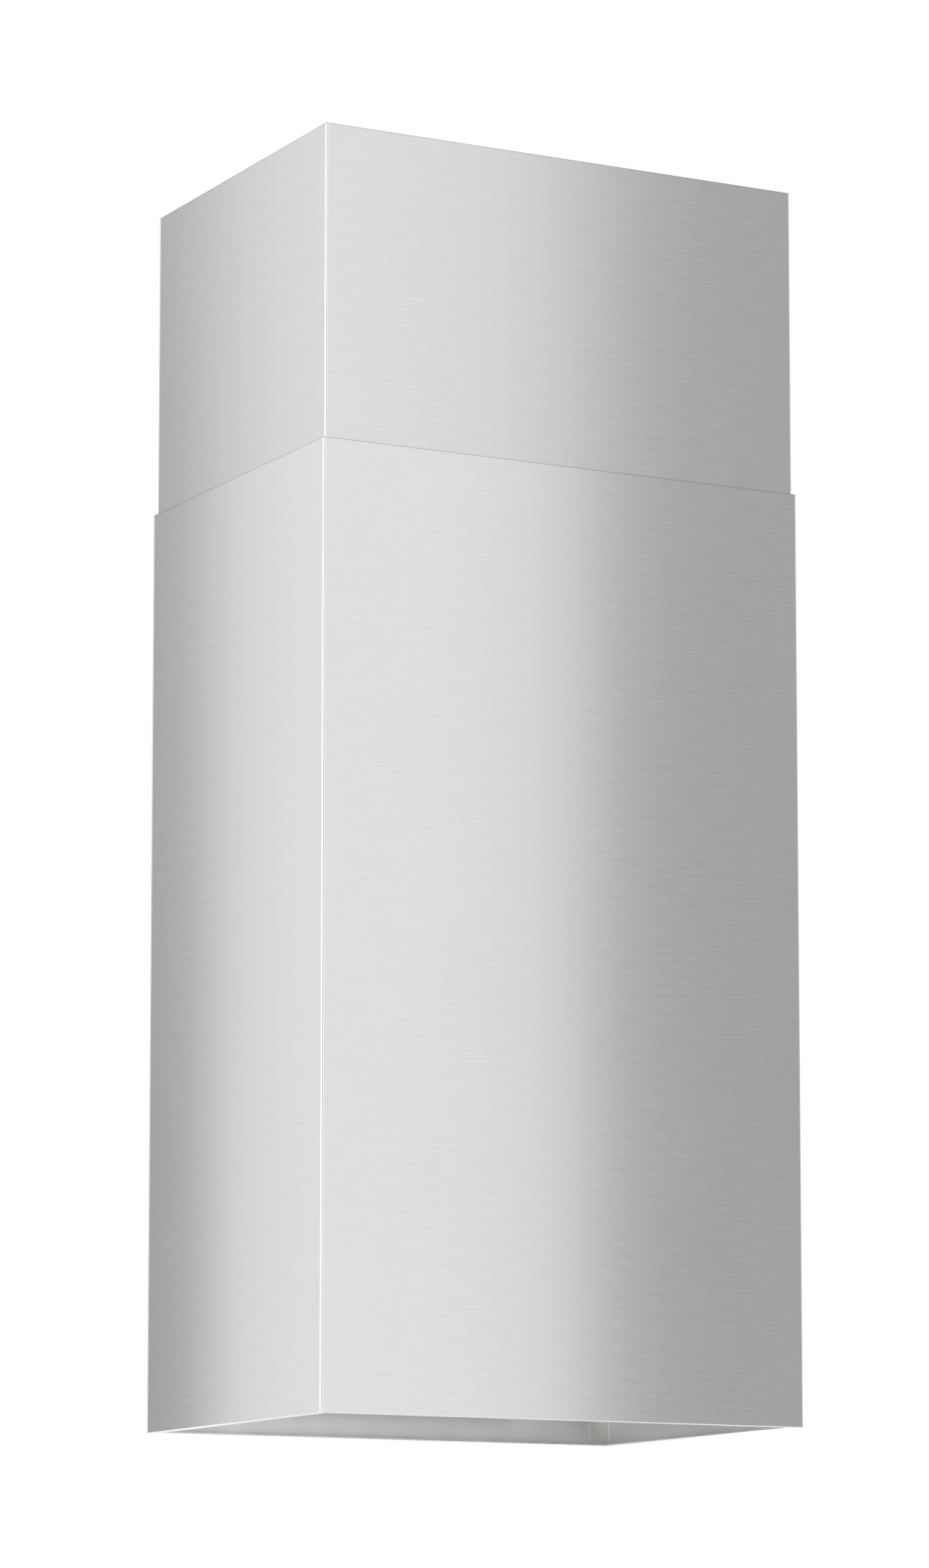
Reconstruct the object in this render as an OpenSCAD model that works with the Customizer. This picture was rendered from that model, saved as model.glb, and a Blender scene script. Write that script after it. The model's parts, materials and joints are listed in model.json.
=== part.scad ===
// Straight-column island range hood.
// Two nested steel covers hide a telescopic ceiling frame, a round exhaust duct and a blower box.
// Millimetres. Origin: centre of the ceiling plate's top face. +Z up, -Y is the front.

/* [Column] */
// Outside width of the lower cover
body_w = 340; // [330:5:400]
// Outside depth of the lower cover
body_d = 250; // [248:1:300]
// Height of the lower cover
lower_h = 600; // [580:5:640]
// Height of upper cover that shows above the lower one
exposed_h = 200; // [190:5:240]
// Full length of the upper cover
upper_h = 350; // [330:5:380]
// Thickness of the cover sheet
sheet = 0.8; // [0.7:0.05:0.8]
// Step from the lower cover's face in to the upper cover's face
inset = 2; // [2:0.1:2.4]
// Outside radius of the folded corners
fold_r = 1.4; // [1.2:0.1:2]

/* [Telescope] */
// Travel of the hood up towards the ceiling
raise_travel = 150; // [100:10:150]
// Travel of the hood down from its rest height
drop_travel = 100; // [60:10:100]

/* [Exhaust] */
// Inside radius of the ceiling socket, for a 6 inch round duct
socket_r = 76.5; // [76.3:0.1:76.8]
// Depth that a duct enters the ceiling socket
socket_depth = 45; // [35:5:45]

/* [Blower] */
// Outside radius of the fan wheel
wheel_r = 70; // [66:1:70]
// Number of blades on the fan wheel
blade_count = 36; // [24:1:40]

/* [Underside] */
// Height of the tray above the lower rim
recess = 28.8; // [26:0.2:32]
// Radius of each lamp's lens
lens_r = 18; // [15:1:18]
// Radius of each push button
button_r = 7; // [6:0.5:7]
// Spacing between the push buttons
button_pitch = 30; // [24:2:32]

/* [Hidden] */
$fn = 64;
eps = 0.05;
fine = 128;

rim_z = -(exposed_h + lower_h);
lower_top = -exposed_h;
steel = "silver";
zinc = "lightslategray";

upper_w = body_w - 2 * inset;
upper_d = body_d - 2 * inset;

plate_t = 2;
post_x = body_w / 2 - 10;
post_y = body_d / 2 - 10;
post_leg = 25;
upper_post_t = 2;
lower_post_t = 1.5;
post_gap = 0.5;
low_x = post_x - upper_post_t - post_gap;
low_y = post_y - upper_post_t - post_gap;
upper_post_end = -470;
lower_post_top = lower_top - 70;
bolt_y = post_y - 14;
bolt_z = [lower_top - 95, lower_top - 135];
slot_w = 6.6;
ring_h = 20;

tray_t = 1.2;
tray_z = rim_z + recess + tray_t;
tray_x = body_w / 2 - 1.6;
tray_front = -(body_d / 2 - 1.6);
tray_back = body_d / 2 - 2.4;
foot_t = 1.8;
box_x = low_x - lower_post_t;
box_y = low_y - lower_post_t;
box_top = tray_z + 215;
box_bottom = tray_z + foot_t + 0.2;

wheel_x = -50;
wheel_z = box_top - 100;
wheel_half = 32;
scroll_half = 38;
tongue_a = 72;
scroll_start = wheel_r + 7;
scroll_end = wheel_r + 42;
scroll_top = box_top - 1 - wheel_z;

collar_r = 73.2;
collar_h = 50;
duct_wall = 0.7;
lower_duct_r = 74.2;
upper_duct_r = 75.8;
damper_z = box_top + 40;
flap_r = 71.6;

filter_w = 200;
filter_front = -86;
filter_back = 106;
filter_t = 11.8;
filter_top = tray_z - tray_t - 1;
hinge_y = filter_back - 2.5;
hinge_z = filter_top - 5.8;
pin_r = 2;
filter_border = 10;
bail_y = -81;
bail_z = filter_top - filter_t - 2.4;

panel_y = -(body_d / 2 - 20);
panel_half = 13;
panel_t = 3.8;
panel_x = 72;
lamp_x = body_w / 2 - 40;
lamp_y = 15;

// ---------- shared shapes ----------

module rounded(w, d, r) {
    square([w - 2 * r, d], center = true);
    square([w, d - 2 * r], center = true);
    for (sx = [-1, 1], sy = [-1, 1])
        translate([sx * (w / 2 - r), sy * (d / 2 - r)]) circle(r, $fn = 24);
}

module ring_2d(w, d, wall) {
    difference() {
        square([w, d], center = true);
        square([w - 2 * wall, d - 2 * wall], center = true);
    }
}

module tube(r_out, r_in, z0, z1) {
    translate([0, 0, z0]) difference() {
        cylinder(h = z1 - z0, r = r_out, $fn = fine);
        translate([0, 0, -1]) cylinder(h = z1 - z0 + 2, r = r_in, $fn = fine);
    }
}

// A block given by two opposite corners.
module block(a, b) {
    translate(a) cube(b - a);
}

screw_r = 2;

// Pan-head screw with its head's seat at the origin, pointing down its own -Z.
module pan_screw() {
    cylinder(h = 2, r = 4, $fn = 32);
    translate([0, 0, -8]) cylinder(h = 8.1, r = screw_r, $fn = 24);
}

// Hole that the screw passes through, centred on the origin.
module screw_hole(depth = 6) {
    cylinder(h = depth, r = screw_r + eps, center = true, $fn = 24);
}

// Turns a shape that points along +Z to point along +X or -X.
module along_x(side) {
    rotate([0, side * 90, 0]) children();
}

// ---------- covers ----------

// Front and two sides folded from one sheet, with return flanges that the rear panel lies on.
module cover_shell_2d(w, d) {
    flange = 15;
    front_d = d - sheet;
    translate([0, -sheet / 2]) difference() {
        rounded(w, front_d, fold_r);
        rounded(w - 2 * sheet, front_d - 2 * sheet, fold_r - sheet);
        translate([-(w / 2 - flange), front_d / 2 - 2 * sheet])
            square([w - 2 * flange, 4 * sheet]);
    }
}

rivet_edge = 8;
rivet_head_r = 3;
rivet_r = 2;
rivet_head_h = 0.4;

module at_rivets(w, d, rows) {
    for (sx = [-1, 1], z = rows)
        translate([sx * (w / 2 - rivet_edge), d / 2, z]) rotate([-90, 0, 0]) children();
}

module rivet_hole() {
    translate([0, 0, -rivet_head_h - eps]) cylinder(h = 1, r = rivet_head_r + eps, $fn = 32);
    translate([0, 0, -3]) cylinder(h = 3.5, r = rivet_r + eps, $fn = 24);
}

module rivet() {
    translate([0, 0, -rivet_head_h]) cylinder(h = rivet_head_h, r = rivet_head_r, $fn = 32);
    translate([0, 0, -2 * sheet]) cylinder(h = 2 * sheet - 0.1, r = rivet_r, $fn = 24);
}

module cover_rear(w, d, z0, z1, rows) {
    difference() {
        block([-(w / 2 - 0.3), d / 2 - sheet, z0], [w / 2 - 0.3, d / 2, z1]);
        at_rivets(w, d, rows) rivet_hole();
    }
}

upper_rows = [for (i = [0:3]) -(20 + i * (upper_h - 40) / 3)];
lower_rows = [for (i = [0:4]) lower_top - 20 - i * (lower_h - 50) / 4];

module upper_cover_shell() {
    color(steel) difference() {
        translate([0, 0, -upper_h]) linear_extrude(upper_h) cover_shell_2d(upper_w, upper_d);
        at_rivets(upper_w, upper_d, upper_rows) rivet_hole();
    }
}

module upper_cover_rear_panel() {
    color(steel) cover_rear(upper_w, upper_d, -upper_h, 0, upper_rows);
}

module upper_cover_rivets() {
    color("gray") at_rivets(upper_w, upper_d, upper_rows) rivet();
}

lip = 8;
lip_end = 16;

module lower_cover_shell() {
    color(steel) difference() {
        union() {
            translate([0, 0, rim_z]) linear_extrude(lower_h) cover_shell_2d(body_w, body_d);
            translate([0, -sheet / 2, rim_z]) linear_extrude(sheet) difference() {
                rounded(body_w, body_d - sheet, fold_r);
                square([body_w - 2 * lip, body_d - sheet - 2 * lip], center = true);
                translate([0, body_d / 2]) square([body_w - 2 * lip_end, 4 * lip], center = true);
            }
        }
        at_rivets(body_w, body_d, lower_rows) rivet_hole();
    }
}

module lower_cover_rear_panel() {
    color(steel) {
        cover_rear(body_w, body_d, rim_z, lower_top, lower_rows);
        block([-(body_w / 2 - lip_end - 0.3), body_d / 2 - lip, rim_z],
              [body_w / 2 - lip_end - 0.3, body_d / 2 - sheet / 2, rim_z + sheet]);
    }
}

module lower_cover_rivets() {
    color("gray") at_rivets(body_w, body_d, lower_rows) rivet();
}

rail_y = body_d / 2 - 30;
rail_in = body_w / 2 - 14;
rail_t = 1.2;
rail_drop = 14;
rail_screw = [body_w / 2 - 8, body_d / 2 - 45];

module cover_rails() {
    inner = body_w / 2 - sheet;
    color(steel) for (side = [-1, 1]) difference() {
        mirror([side < 0 ? 1 : 0, 0, 0]) {
            block([rail_in, -rail_y, tray_z - tray_t - rail_t], [inner, rail_y, tray_z - tray_t]);
            block([inner - rail_t, -rail_y, tray_z - tray_t - rail_drop],
                  [inner, rail_y, tray_z - tray_t]);
        }
        for (sy = [-1, 1])
            translate([side * rail_screw.x, sy * rail_screw.y, tray_z - tray_t]) screw_hole();
    }
}

// ---------- ceiling frame ----------

ceiling_bolt = [130, 85];
ceiling_bolt_r = 4.25;
cable_x = 118;
grommet_r = 11;
cable_r = 8;
flange_h = 30;
clip_y = 55;
clip_w = 16;
screw_z = -16;

module ceiling_plate() {
    color(zinc) difference() {
        union() {
            translate([0, 0, -plate_t]) linear_extrude(plate_t)
                square([2 * post_x + 4, 2 * post_y + 4], center = true);
            translate([0, 0, -flange_h]) linear_extrude(flange_h)
                ring_2d(2 * post_x + 4, 2 * post_y + 4, 2);
        }
        translate([0, 0, -5]) cylinder(h = 10, r = socket_r + 1.5, $fn = fine);
        for (sx = [-1, 1], sy = [-1, 1])
            translate([sx * ceiling_bolt.x, sy * ceiling_bolt.y, -5])
                cylinder(h = 10, r = ceiling_bolt_r, $fn = 32);
        translate([cable_x, 0, -5]) cylinder(h = 10, r = grommet_r, $fn = 48);
        for (sx = [-1, 1], sy = [-1, 1])
            translate([sx * (post_x + 1), sy * bolt_y, screw_z]) along_x(1) screw_hole();
    }
}

module angle_2d(x, y, leg, t) {
    difference() {
        translate([x - leg, y - leg]) square(leg);
        translate([x - leg - 1, y - leg - 1]) square(leg - t + 1);
    }
}

module corner(sx, sy) {
    mirror([sx < 0 ? 1 : 0, 0, 0]) mirror([0, sy < 0 ? 1 : 0, 0]) children();
}

slot_top = bolt_z[0] + raise_travel + 5;
slot_end = bolt_z[1] - drop_travel - 5;

module upper_post(sx, sy) {
    color(zinc) corner(sx, sy) difference() {
        translate([0, 0, upper_post_end]) linear_extrude(-upper_post_end - plate_t)
            angle_2d(post_x, post_y, post_leg, upper_post_t);
        block([post_x - 5, bolt_y - slot_w / 2, slot_end], [post_x + 1, bolt_y + slot_w / 2, slot_top]);
        for (z = [slot_end, slot_top])
            translate([post_x - 5, bolt_y, z]) along_x(1) cylinder(h = 6, r = slot_w / 2, $fn = 32);
        translate([post_x - 1, bolt_y, screw_z]) along_x(1) screw_hole();
    }
}

module upper_frame_ring() {
    color(zinc) translate([0, 0, upper_post_end]) linear_extrude(ring_h)
        ring_2d(2 * post_x + 4, 2 * post_y + 4, 2);
}

module upper_frame_screws() {
    color("dimgray") for (sx = [-1, 1], sy = [-1, 1])
        translate([sx * (post_x + 2), sy * bolt_y, screw_z]) along_x(sx) pan_screw();
}

// The socket takes the house's duct from above and the upper duct from below.
module duct_socket() {
    wall = 0.8;
    step_r = upper_duct_r + eps;
    color("gainsboro") rotate_extrude($fn = fine) {
        translate([socket_r, -socket_depth]) square([wall, socket_depth]);
        translate([step_r, -socket_depth - wall]) square([socket_r + wall - step_r, wall]);
        translate([step_r, -socket_depth - 30]) square([wall, 30]);
        translate([socket_r, -plate_t - 1]) square([15, 1]);
    }
}

upper_duct_end = -370;

module upper_duct() {
    color("gainsboro") tube(upper_duct_r, upper_duct_r - 0.8, upper_duct_end, -socket_depth - 1);
}

// A bowed leaf on the plate's flange that bears on the inside of the upper cover.
module spring_clip() {
    crest = 4.9;
    t = 0.5;
    rotate([90, 0, 0]) linear_extrude(clip_w, center = true) polygon([
        [0, -6], [t, -6], [t, -10], [crest, -17], [crest, -19],
        [1.5, -27], [1, -27], [crest - t, -19], [crest - t, -17.2], [0, -10.4]
    ]);
}

module cover_spring_clips() {
    color("lightgray") for (sx = [-1, 1], sy = [-1, 1])
        mirror([sx < 0 ? 1 : 0, 0, 0]) translate([post_x + 2, sy * clip_y, 0]) spring_clip();
}

module cable_grommet() {
    color([0.1, 0.1, 0.1]) translate([cable_x, 0, 0]) difference() {
        union() {
            translate([0, 0, -plate_t - 2]) cylinder(h = 2, r = grommet_r + 3, $fn = 48);
            translate([0, 0, -plate_t - 0.5]) cylinder(h = plate_t + 0.5, r = grommet_r - eps, $fn = 48);
        }
        translate([0, 0, -10]) cylinder(h = 20, r = cable_r, $fn = 48);
    }
}

// ---------- hood frame ----------

module lower_post(sx, sy) {
    color(zinc) corner(sx, sy) difference() {
        union() {
            translate([0, 0, tray_z]) linear_extrude(lower_post_top - tray_z)
                angle_2d(low_x, low_y, post_leg, lower_post_t);
            block([low_x - post_leg, low_y - post_leg, tray_z], [low_x, low_y, tray_z + foot_t]);
        }
        for (z = bolt_z)
            translate([low_x - 4, bolt_y, z]) along_x(1) cylinder(h = 6, r = 2.65, $fn = 32);
        for (z = box_screw_z)
            translate([low_x, bolt_y, z]) along_x(1) screw_hole();
        translate([foot_screw.x, foot_screw.y, tray_z]) screw_hole();
    }
}

foot_screw = [low_x - 11.5, low_y - 13.5];
box_screw_z = [tray_z + 30, tray_z + 120];

module lower_frame_ring() {
    color(zinc) translate([0, 0, lower_post_top - 16]) linear_extrude(16)
        ring_2d(2 * box_x, 2 * box_y, 2);
}

module at_height_bolts() {
    for (sx = [-1, 1], sy = [-1, 1], z = bolt_z)
        mirror([sx < 0 ? 1 : 0, 0, 0]) translate([0, sy * bolt_y, z]) rotate([0, 90, 0]) children();
}

module height_bolts() {
    color("dimgray") at_height_bolts() {
        translate([0, 0, box_x - 7]) cylinder(h = post_x - box_x + 8, r = 2.5, $fn = 32);
        translate([0, 0, post_x + 0.3]) cylinder(h = 1, r = 6.5, $fn = 32);
        translate([0, 0, post_x + 1.2]) cylinder(h = 3, r = 4.6, $fn = 6);
    }
}

module height_nuts() {
    color("dimgray") at_height_bolts() translate([0, 0, box_x - 4]) difference() {
        cylinder(h = 4, r = 4.6, $fn = 6);
        translate([0, 0, -1]) cylinder(h = 6, r = 2.5 + eps, $fn = 32);
    }
}

module blower_box() {
    notch_x = 78;
    color("lightgray") difference() {
        block([-box_x, -box_y, box_bottom], [box_x, box_y, box_top]);
        block([-box_x + 1, -box_y + 1, box_bottom - 1], [box_x - 1, box_y - 1, box_top - 1]);
        block([-notch_x, -box_y - 1, box_bottom - 1], [notch_x, -box_y + 2, tray_z + 28]);
        block([outlet_x0, -outlet_y, box_top - 3], [outlet_x1, outlet_y, box_top + 1]);
        for (sx = [-1, 1], sy = [-1, 1], z = box_screw_z)
            translate([sx * box_x, sy * bolt_y, z]) along_x(1) screw_hole();
    }
}

outlet_x0 = wheel_x + scroll_start * cos(tongue_a) + 1;
outlet_x1 = wheel_x + scroll_end - 0.5;
outlet_y = 36;

module hood_screws() {
    color("dimgray") {
        for (sx = [-1, 1], sy = [-1, 1]) {
            for (z = box_screw_z)
                translate([sx * low_x, sy * bolt_y, z]) along_x(sx) pan_screw();
            translate([sx * foot_screw.x, sy * foot_screw.y, tray_z - tray_t])
                rotate([180, 0, 0]) pan_screw();
            translate([sx * rail_screw.x, sy * rail_screw.y, tray_z - tray_t - rail_t])
                rotate([180, 0, 0]) pan_screw();
        }
        at_arms(motor_front - 2) pan_screw();
    }
}

// ---------- underside ----------

window_x = 94;
window_front = -72;
window_back = 100;
magnet_x = 60;
magnet_y = -80;
magnet_r = 4;
slot_x = 66;
slot_half = 9.6;

// Tab that a filter pin hangs in, welded to the tray.
module filter_tab() {
    face = filter_w / 2;
    z1 = tray_z - tray_t + 0.2;
    difference() {
        union() {
            block([face + 2.5, hinge_y - 5, hinge_z - 4], [face + 4.5, hinge_y + 5, z1]);
            block([face + 4.4, hinge_y - 5, tray_z - tray_t - 1.2], [face + 14, hinge_y + 5, z1]);
        }
        translate([face + 3, hinge_y, hinge_z]) along_x(1)
            cylinder(h = 8, r = pin_r + 0.08, center = true, $fn = 32);
    }
}

module underside_tray() {
    z0 = tray_z - tray_t;
    color(steel) for (sx = [-1, 1]) mirror([sx < 0 ? 1 : 0, 0, 0]) filter_tab();
    color(steel) difference() {
        block([-tray_x, tray_front, z0], [tray_x, tray_back, z0 + 18]);
        block([-tray_x + tray_t, tray_front + tray_t, tray_z], [tray_x - tray_t, tray_back - tray_t, 0]);
        block([-window_x, window_front, z0 - 1], [window_x, window_back, z0 + 5]);
        block([-slot_x, panel_y - slot_half, z0 - 1], [slot_x, panel_y + slot_half, z0 + 5]);
        for (sx = [-1, 1]) {
            translate([sx * lamp_x, lamp_y, z0 - 1]) cylinder(h = 5, r = lens_r + 4, $fn = 48);
            translate([sx * magnet_x, magnet_y, z0 - 1]) cylinder(h = 5, r = magnet_r + eps, $fn = 32);
            for (sy = [-1, 1]) {
                translate([sx * foot_screw.x, sy * foot_screw.y, z0]) screw_hole();
                translate([sx * rail_screw.x, sy * rail_screw.y, z0]) screw_hole();
            }
        }
    }
}

module at_lamps() {
    for (sx = [-1, 1]) translate([sx * lamp_x, lamp_y, tray_z - tray_t]) children();
}

module lamp_bezels() {
    color(steel) at_lamps() rotate_extrude($fn = fine) polygon([
        [lens_r + 0.1, 0], [lens_r + 6, 0], [lens_r + 6, -0.8], [lens_r + 4.6, -2.6],
        [lens_r + 3.6, -3], [lens_r + 0.9, -3], [lens_r + 0.1, -2.2]
    ]);
}

module lamp_lenses() {
    color([0.95, 0.95, 0.9]) at_lamps() translate([0, 0, -2]) cylinder(h = 2, r = lens_r, $fn = 64);
}

module lamp_housings() {
    color("gray") at_lamps() {
        cylinder(h = 12, r = lens_r + 3.5, $fn = 48);
        for (i = [0:3]) translate([0, 0, 12 + i * 3.4]) {
            cylinder(h = 2, r = lens_r - 6, $fn = 48);
            translate([0, 0, 1.8]) cylinder(h = 1.6, r = lens_r + 3.5, $fn = 48);
        }
    }
}

button_x = [for (i = [0:3]) (i - 1.5) * button_pitch];

module control_panel() {
    z1 = tray_z - tray_t;
    color([0.12, 0.12, 0.13]) difference() {
        translate([0, panel_y, z1 - panel_t]) linear_extrude(panel_t)
            rounded(2 * panel_x, 2 * panel_half, 4);
        for (x = button_x) translate([x, panel_y, z1 - panel_t - 1])
            cylinder(h = panel_t + 2, r = button_r + 0.3, $fn = 48);
    }
}

module push_button(i) {
    z1 = tray_z - tray_t;
    color("lightgray") translate([button_x[i], panel_y, z1]) {
        translate([0, 0, -panel_t - 1.8]) cylinder(h = panel_t + 3, r = button_r, $fn = 48);
        translate([0, 0, 0.3]) cylinder(h = 1, r = button_r + 1.2, $fn = 48);
    }
}

module control_housing() {
    y0 = panel_y - panel_half + 0.6;
    y1 = panel_y + panel_half - 0.6;
    color([0.15, 0.15, 0.16]) difference() {
        block([-75, y0, tray_z], [75, y1, tray_z + 26]);
        block([-73, y0 + 2, tray_z - 1], [73, y1 - 2, tray_z + 24]);
        translate([60, y1, tray_z + 16]) rotate([90, 0, 0]) cylinder(h = 8, r = 4, center = true, $fn = 24);
    }
}

module control_board() {
    board_z = tray_z + 10;
    color([0.05, 0.35, 0.15]) {
        block([-72.8, panel_y - 10, board_z], [72.8, panel_y + 10, board_z + 1.6]);
        for (x = button_x)
            block([x - 3, panel_y - 3, tray_z + 1.9], [x + 3, panel_y + 3, board_z + 0.1]);
    }
}

// ---------- filter ----------

module filter_frame() {
    color("silver") {
        difference() {
            block([-filter_w / 2, filter_front, filter_top - filter_t],
                  [filter_w / 2, filter_back, filter_top]);
            block([filter_border - filter_w / 2, filter_front + filter_border, filter_top - filter_t - 1],
                  [filter_w / 2 - filter_border, filter_back - filter_border, filter_top + 1]);
        }
        for (sx = [-1, 1])
            translate([sx * (filter_w / 2 - 1), hinge_y, hinge_z]) along_x(sx)
                cylinder(h = 8, r = pin_r, $fn = 32);
        for (sx = [-1, 1]) difference() {
            block([sx * bail_lug - 1.2, bail_y - 4, bail_z - 3.5],
                  [sx * bail_lug + 1.2, bail_y + 4, filter_top - filter_t + 0.1]);
            translate([sx * bail_lug, bail_y, bail_z]) along_x(1)
                cylinder(h = 5, r = bail_wire + 0.2, center = true, $fn = 24);
        }
    }
}

bail_lug = 34;
bail_wire = 1.5;
bail_half = 28;
bail_reach = 22;
bail_bend = 5;

baffle_count = 7;
baffle_w = 17;
// The outermost baffles stand against the frame, so no air passes straight through.
baffle_pitch = (filter_w - 2 * filter_border - baffle_w) / (baffle_count - 1);
baffle_h = 8;

module channel(x, z, up) {
    y0 = filter_front + filter_border;
    y1 = filter_back - filter_border;
    t = 0.8;
    difference() {
        block([x - baffle_w / 2, y0, z], [x + baffle_w / 2, y1, z + baffle_h]);
        block([x - baffle_w / 2 + t, y0 - 1, up ? z + t : z - 1],
              [x + baffle_w / 2 - t, y1 + 1, up ? z + baffle_h + 1 : z + baffle_h - t]);
    }
}

module filter_baffles() {
    low = filter_top - filter_t + 0.4;
    high = filter_top - baffle_h - 0.4;
    color("gainsboro") {
        for (i = [0:baffle_count - 1]) channel((i - (baffle_count - 1) / 2) * baffle_pitch, low, true);
        for (i = [0:baffle_count - 2]) channel((i - (baffle_count - 2) / 2) * baffle_pitch, high, false);
    }
}

// Bent wire that lies flat under the filter and swings down to pull on.
module filter_bail() {
    color("dimgray") translate([0, bail_y, bail_z]) {
        for (sx = [-1, 1]) mirror([sx < 0 ? 1 : 0, 0, 0]) {
            translate([bail_half + bail_bend, 0, 0]) along_x(1)
                cylinder(h = bail_lug + 3 - bail_half - bail_bend, r = bail_wire, $fn = 24);
            translate([bail_half + bail_bend, bail_bend, 0]) rotate([0, 0, 180])
                rotate_extrude(angle = 90, $fn = 48) translate([bail_bend, 0]) circle(bail_wire, $fn = 24);
            translate([bail_half, bail_bend, 0]) rotate([-90, 0, 0])
                cylinder(h = bail_reach - 2 * bail_bend, r = bail_wire, $fn = 24);
            translate([bail_half - bail_bend, bail_reach - bail_bend, 0])
                rotate_extrude(angle = 90, $fn = 48) translate([bail_bend, 0]) circle(bail_wire, $fn = 24);
        }
        translate([bail_bend - bail_half, bail_reach, 0]) rotate([0, 90, 0])
            cylinder(h = 2 * (bail_half - bail_bend), r = bail_wire, $fn = 24);
    }
}

module filter_magnets() {
    color("dimgray") for (sx = [-1, 1])
        translate([sx * magnet_x, magnet_y, filter_top + 0.3]) cylinder(h = 6, r = magnet_r, $fn = 32);
}

// ---------- blower ----------

function scroll_radius(a) = scroll_start + (scroll_end - scroll_start) * (a - tongue_a) / (360 - tongue_a);

// Spiral casing and its outlet, seen from the front. grow moves the wall outwards.
module scroll_2d(grow, top) {
    tongue_x = scroll_start * cos(tongue_a);
    polygon([for (a = [tongue_a:8:360]) (scroll_radius(a) + grow) * [cos(a), sin(a)]]);
    translate([tongue_x - grow, 0]) square([scroll_end + 2 * grow - tongue_x, top]);
}

// Places a shape drawn in X and Z on the fan's axis, from depth y0 to y1 behind the front.
module on_fan(y0, y1) {
    translate([wheel_x, y1, wheel_z]) rotate([90, 0, 0]) linear_extrude(y1 - y0) children();
}

module scroll_wrap() {
    color("lightgray") on_fan(-scroll_half, scroll_half) difference() {
        scroll_2d(1, scroll_top);
        scroll_2d(0, scroll_top + 5);
    }
}

inlet_r = 60;
arm_r = 69;
arm_angles = [30, 150, 270];

module inlet_lip() {
    rotate_extrude($fn = fine) intersection() {
        translate([inlet_r + 4, 0]) difference() {
            circle(4.5, $fn = 48);
            circle(3.5, $fn = 48);
        }
        translate([inlet_r - 1, 0]) square([5, 6]);
    }
}

module scroll_plate_2d() {
    difference() {
        scroll_2d(1, scroll_top);
        circle(inlet_r + 3.4, $fn = fine);
    }
}

module scroll_front_plate() {
    color("lightgray") {
        difference() {
            on_fan(-scroll_half - 1, -scroll_half) scroll_plate_2d();
            at_arms(-scroll_half) screw_hole();
        }
        translate([wheel_x, 3.5 - scroll_half, wheel_z]) rotate([90, 0, 0]) inlet_lip();
    }
}

module scroll_rear_plate() {
    color("lightgray") {
        on_fan(scroll_half, scroll_half + 1) scroll_plate_2d();
        translate([wheel_x, scroll_half - 3.5, wheel_z]) rotate([-90, 0, 0]) inlet_lip();
    }
}

motor_r = 42;
motor_front = -42.5;
motor_back = 16;
hub_y = 22;

// A solid of revolution about the fan's axis, from y0 to y1.
module fan_disc(r, y0, y1, bore = 0) {
    translate([wheel_x, y0, wheel_z]) rotate([-90, 0, 0]) difference() {
        cylinder(h = y1 - y0, r = r, $fn = 96);
        if (bore > 0) translate([0, 0, -1]) cylinder(h = y1 - y0 + 2, r = bore, $fn = 48);
    }
}

module motor_can() {
    color("gray") difference() {
        union() {
            fan_disc(motor_r, motor_front + 6, motor_back - 6);
            fan_disc(motor_r - 4, motor_front, motor_front + 6.1);
            fan_disc(motor_r - 4, motor_back - 6.1, motor_back);
            for (y = [-28, -18, -8, 2]) fan_disc(motor_r + 1.5, y, y + 3);
        }
        fan_disc(4 + eps, motor_back - 20, motor_back + 1);
    }
}

module motor_shaft() {
    color("silver") fan_disc(4, motor_back - 18, hub_y + 14);
}

module blade_2d() {
    inner = wheel_r - 12;
    outer = wheel_r - 1;
    steps = 4;
    sweep = 9;
    function at(i, shift) = let (u = i / steps, r = inner + (outer - inner) * u,
        a = sweep * (u * u) + shift * 57.3 / r) [r * cos(a), r * sin(a)];
    polygon(concat([for (i = [0:steps]) at(i, 0)], [for (i = [steps:-1:0]) at(i, 0.8)]));
}

module fan_wheel() {
    blade_end = wheel_half - 0.7;
    color("whitesmoke") {
        translate([wheel_x, blade_end, wheel_z]) rotate([90, 0, 0]) linear_extrude(2 * blade_end)
            for (i = [0:blade_count - 1]) rotate(i * 360 / blade_count) blade_2d();
        for (y = [-wheel_half, wheel_half - 2]) fan_disc(wheel_r, y, y + 2, wheel_r - 5);
        fan_disc(wheel_r - 3, hub_y, hub_y + 1.4, 4 + eps);
        fan_disc(11, hub_y - 1, hub_y + 12, 4 + eps);
    }
}

module motor_bracket() {
    color(zinc) difference() {
        union() {
            fan_disc(22, motor_front - 2, motor_front);
            for (a = arm_angles)
                translate([wheel_x, motor_front - 2, wheel_z]) rotate([0, -a, 0])
                    translate([0, 0, -6]) cube([arm_r + 6, 2, 12]);
        }
        at_arms(motor_front) screw_hole();
    }
}

module at_arms(y) {
    for (a = arm_angles)
        translate([wheel_x + arm_r * cos(a), y, wheel_z + arm_r * sin(a)]) rotate([90, 0, 0]) children();
}

module motor_bushes() {
    color([0.1, 0.1, 0.1]) at_arms(-scroll_half - 1) difference() {
        cylinder(h = -motor_front - scroll_half - 1, r = 6, $fn = 32);
        screw_hole(12);
    }
}

// ---------- exhaust ----------

module outlet_collar() {
    color("gainsboro") difference() {
        union() {
            tube(collar_r, collar_r - 0.8, box_top + 0.5, box_top + collar_h);
            tube(collar_r + 14, collar_r - 0.8, box_top, box_top + 1);
        }
        translate([0, 0, damper_z]) rotate([90, 0, 0]) cylinder(h = 200, r = 1.6, center = true, $fn = 24);
    }
}

module lower_duct() {
    color("gainsboro") tube(lower_duct_r, lower_duct_r - duct_wall, box_top + 15, lower_top);
}

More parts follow.
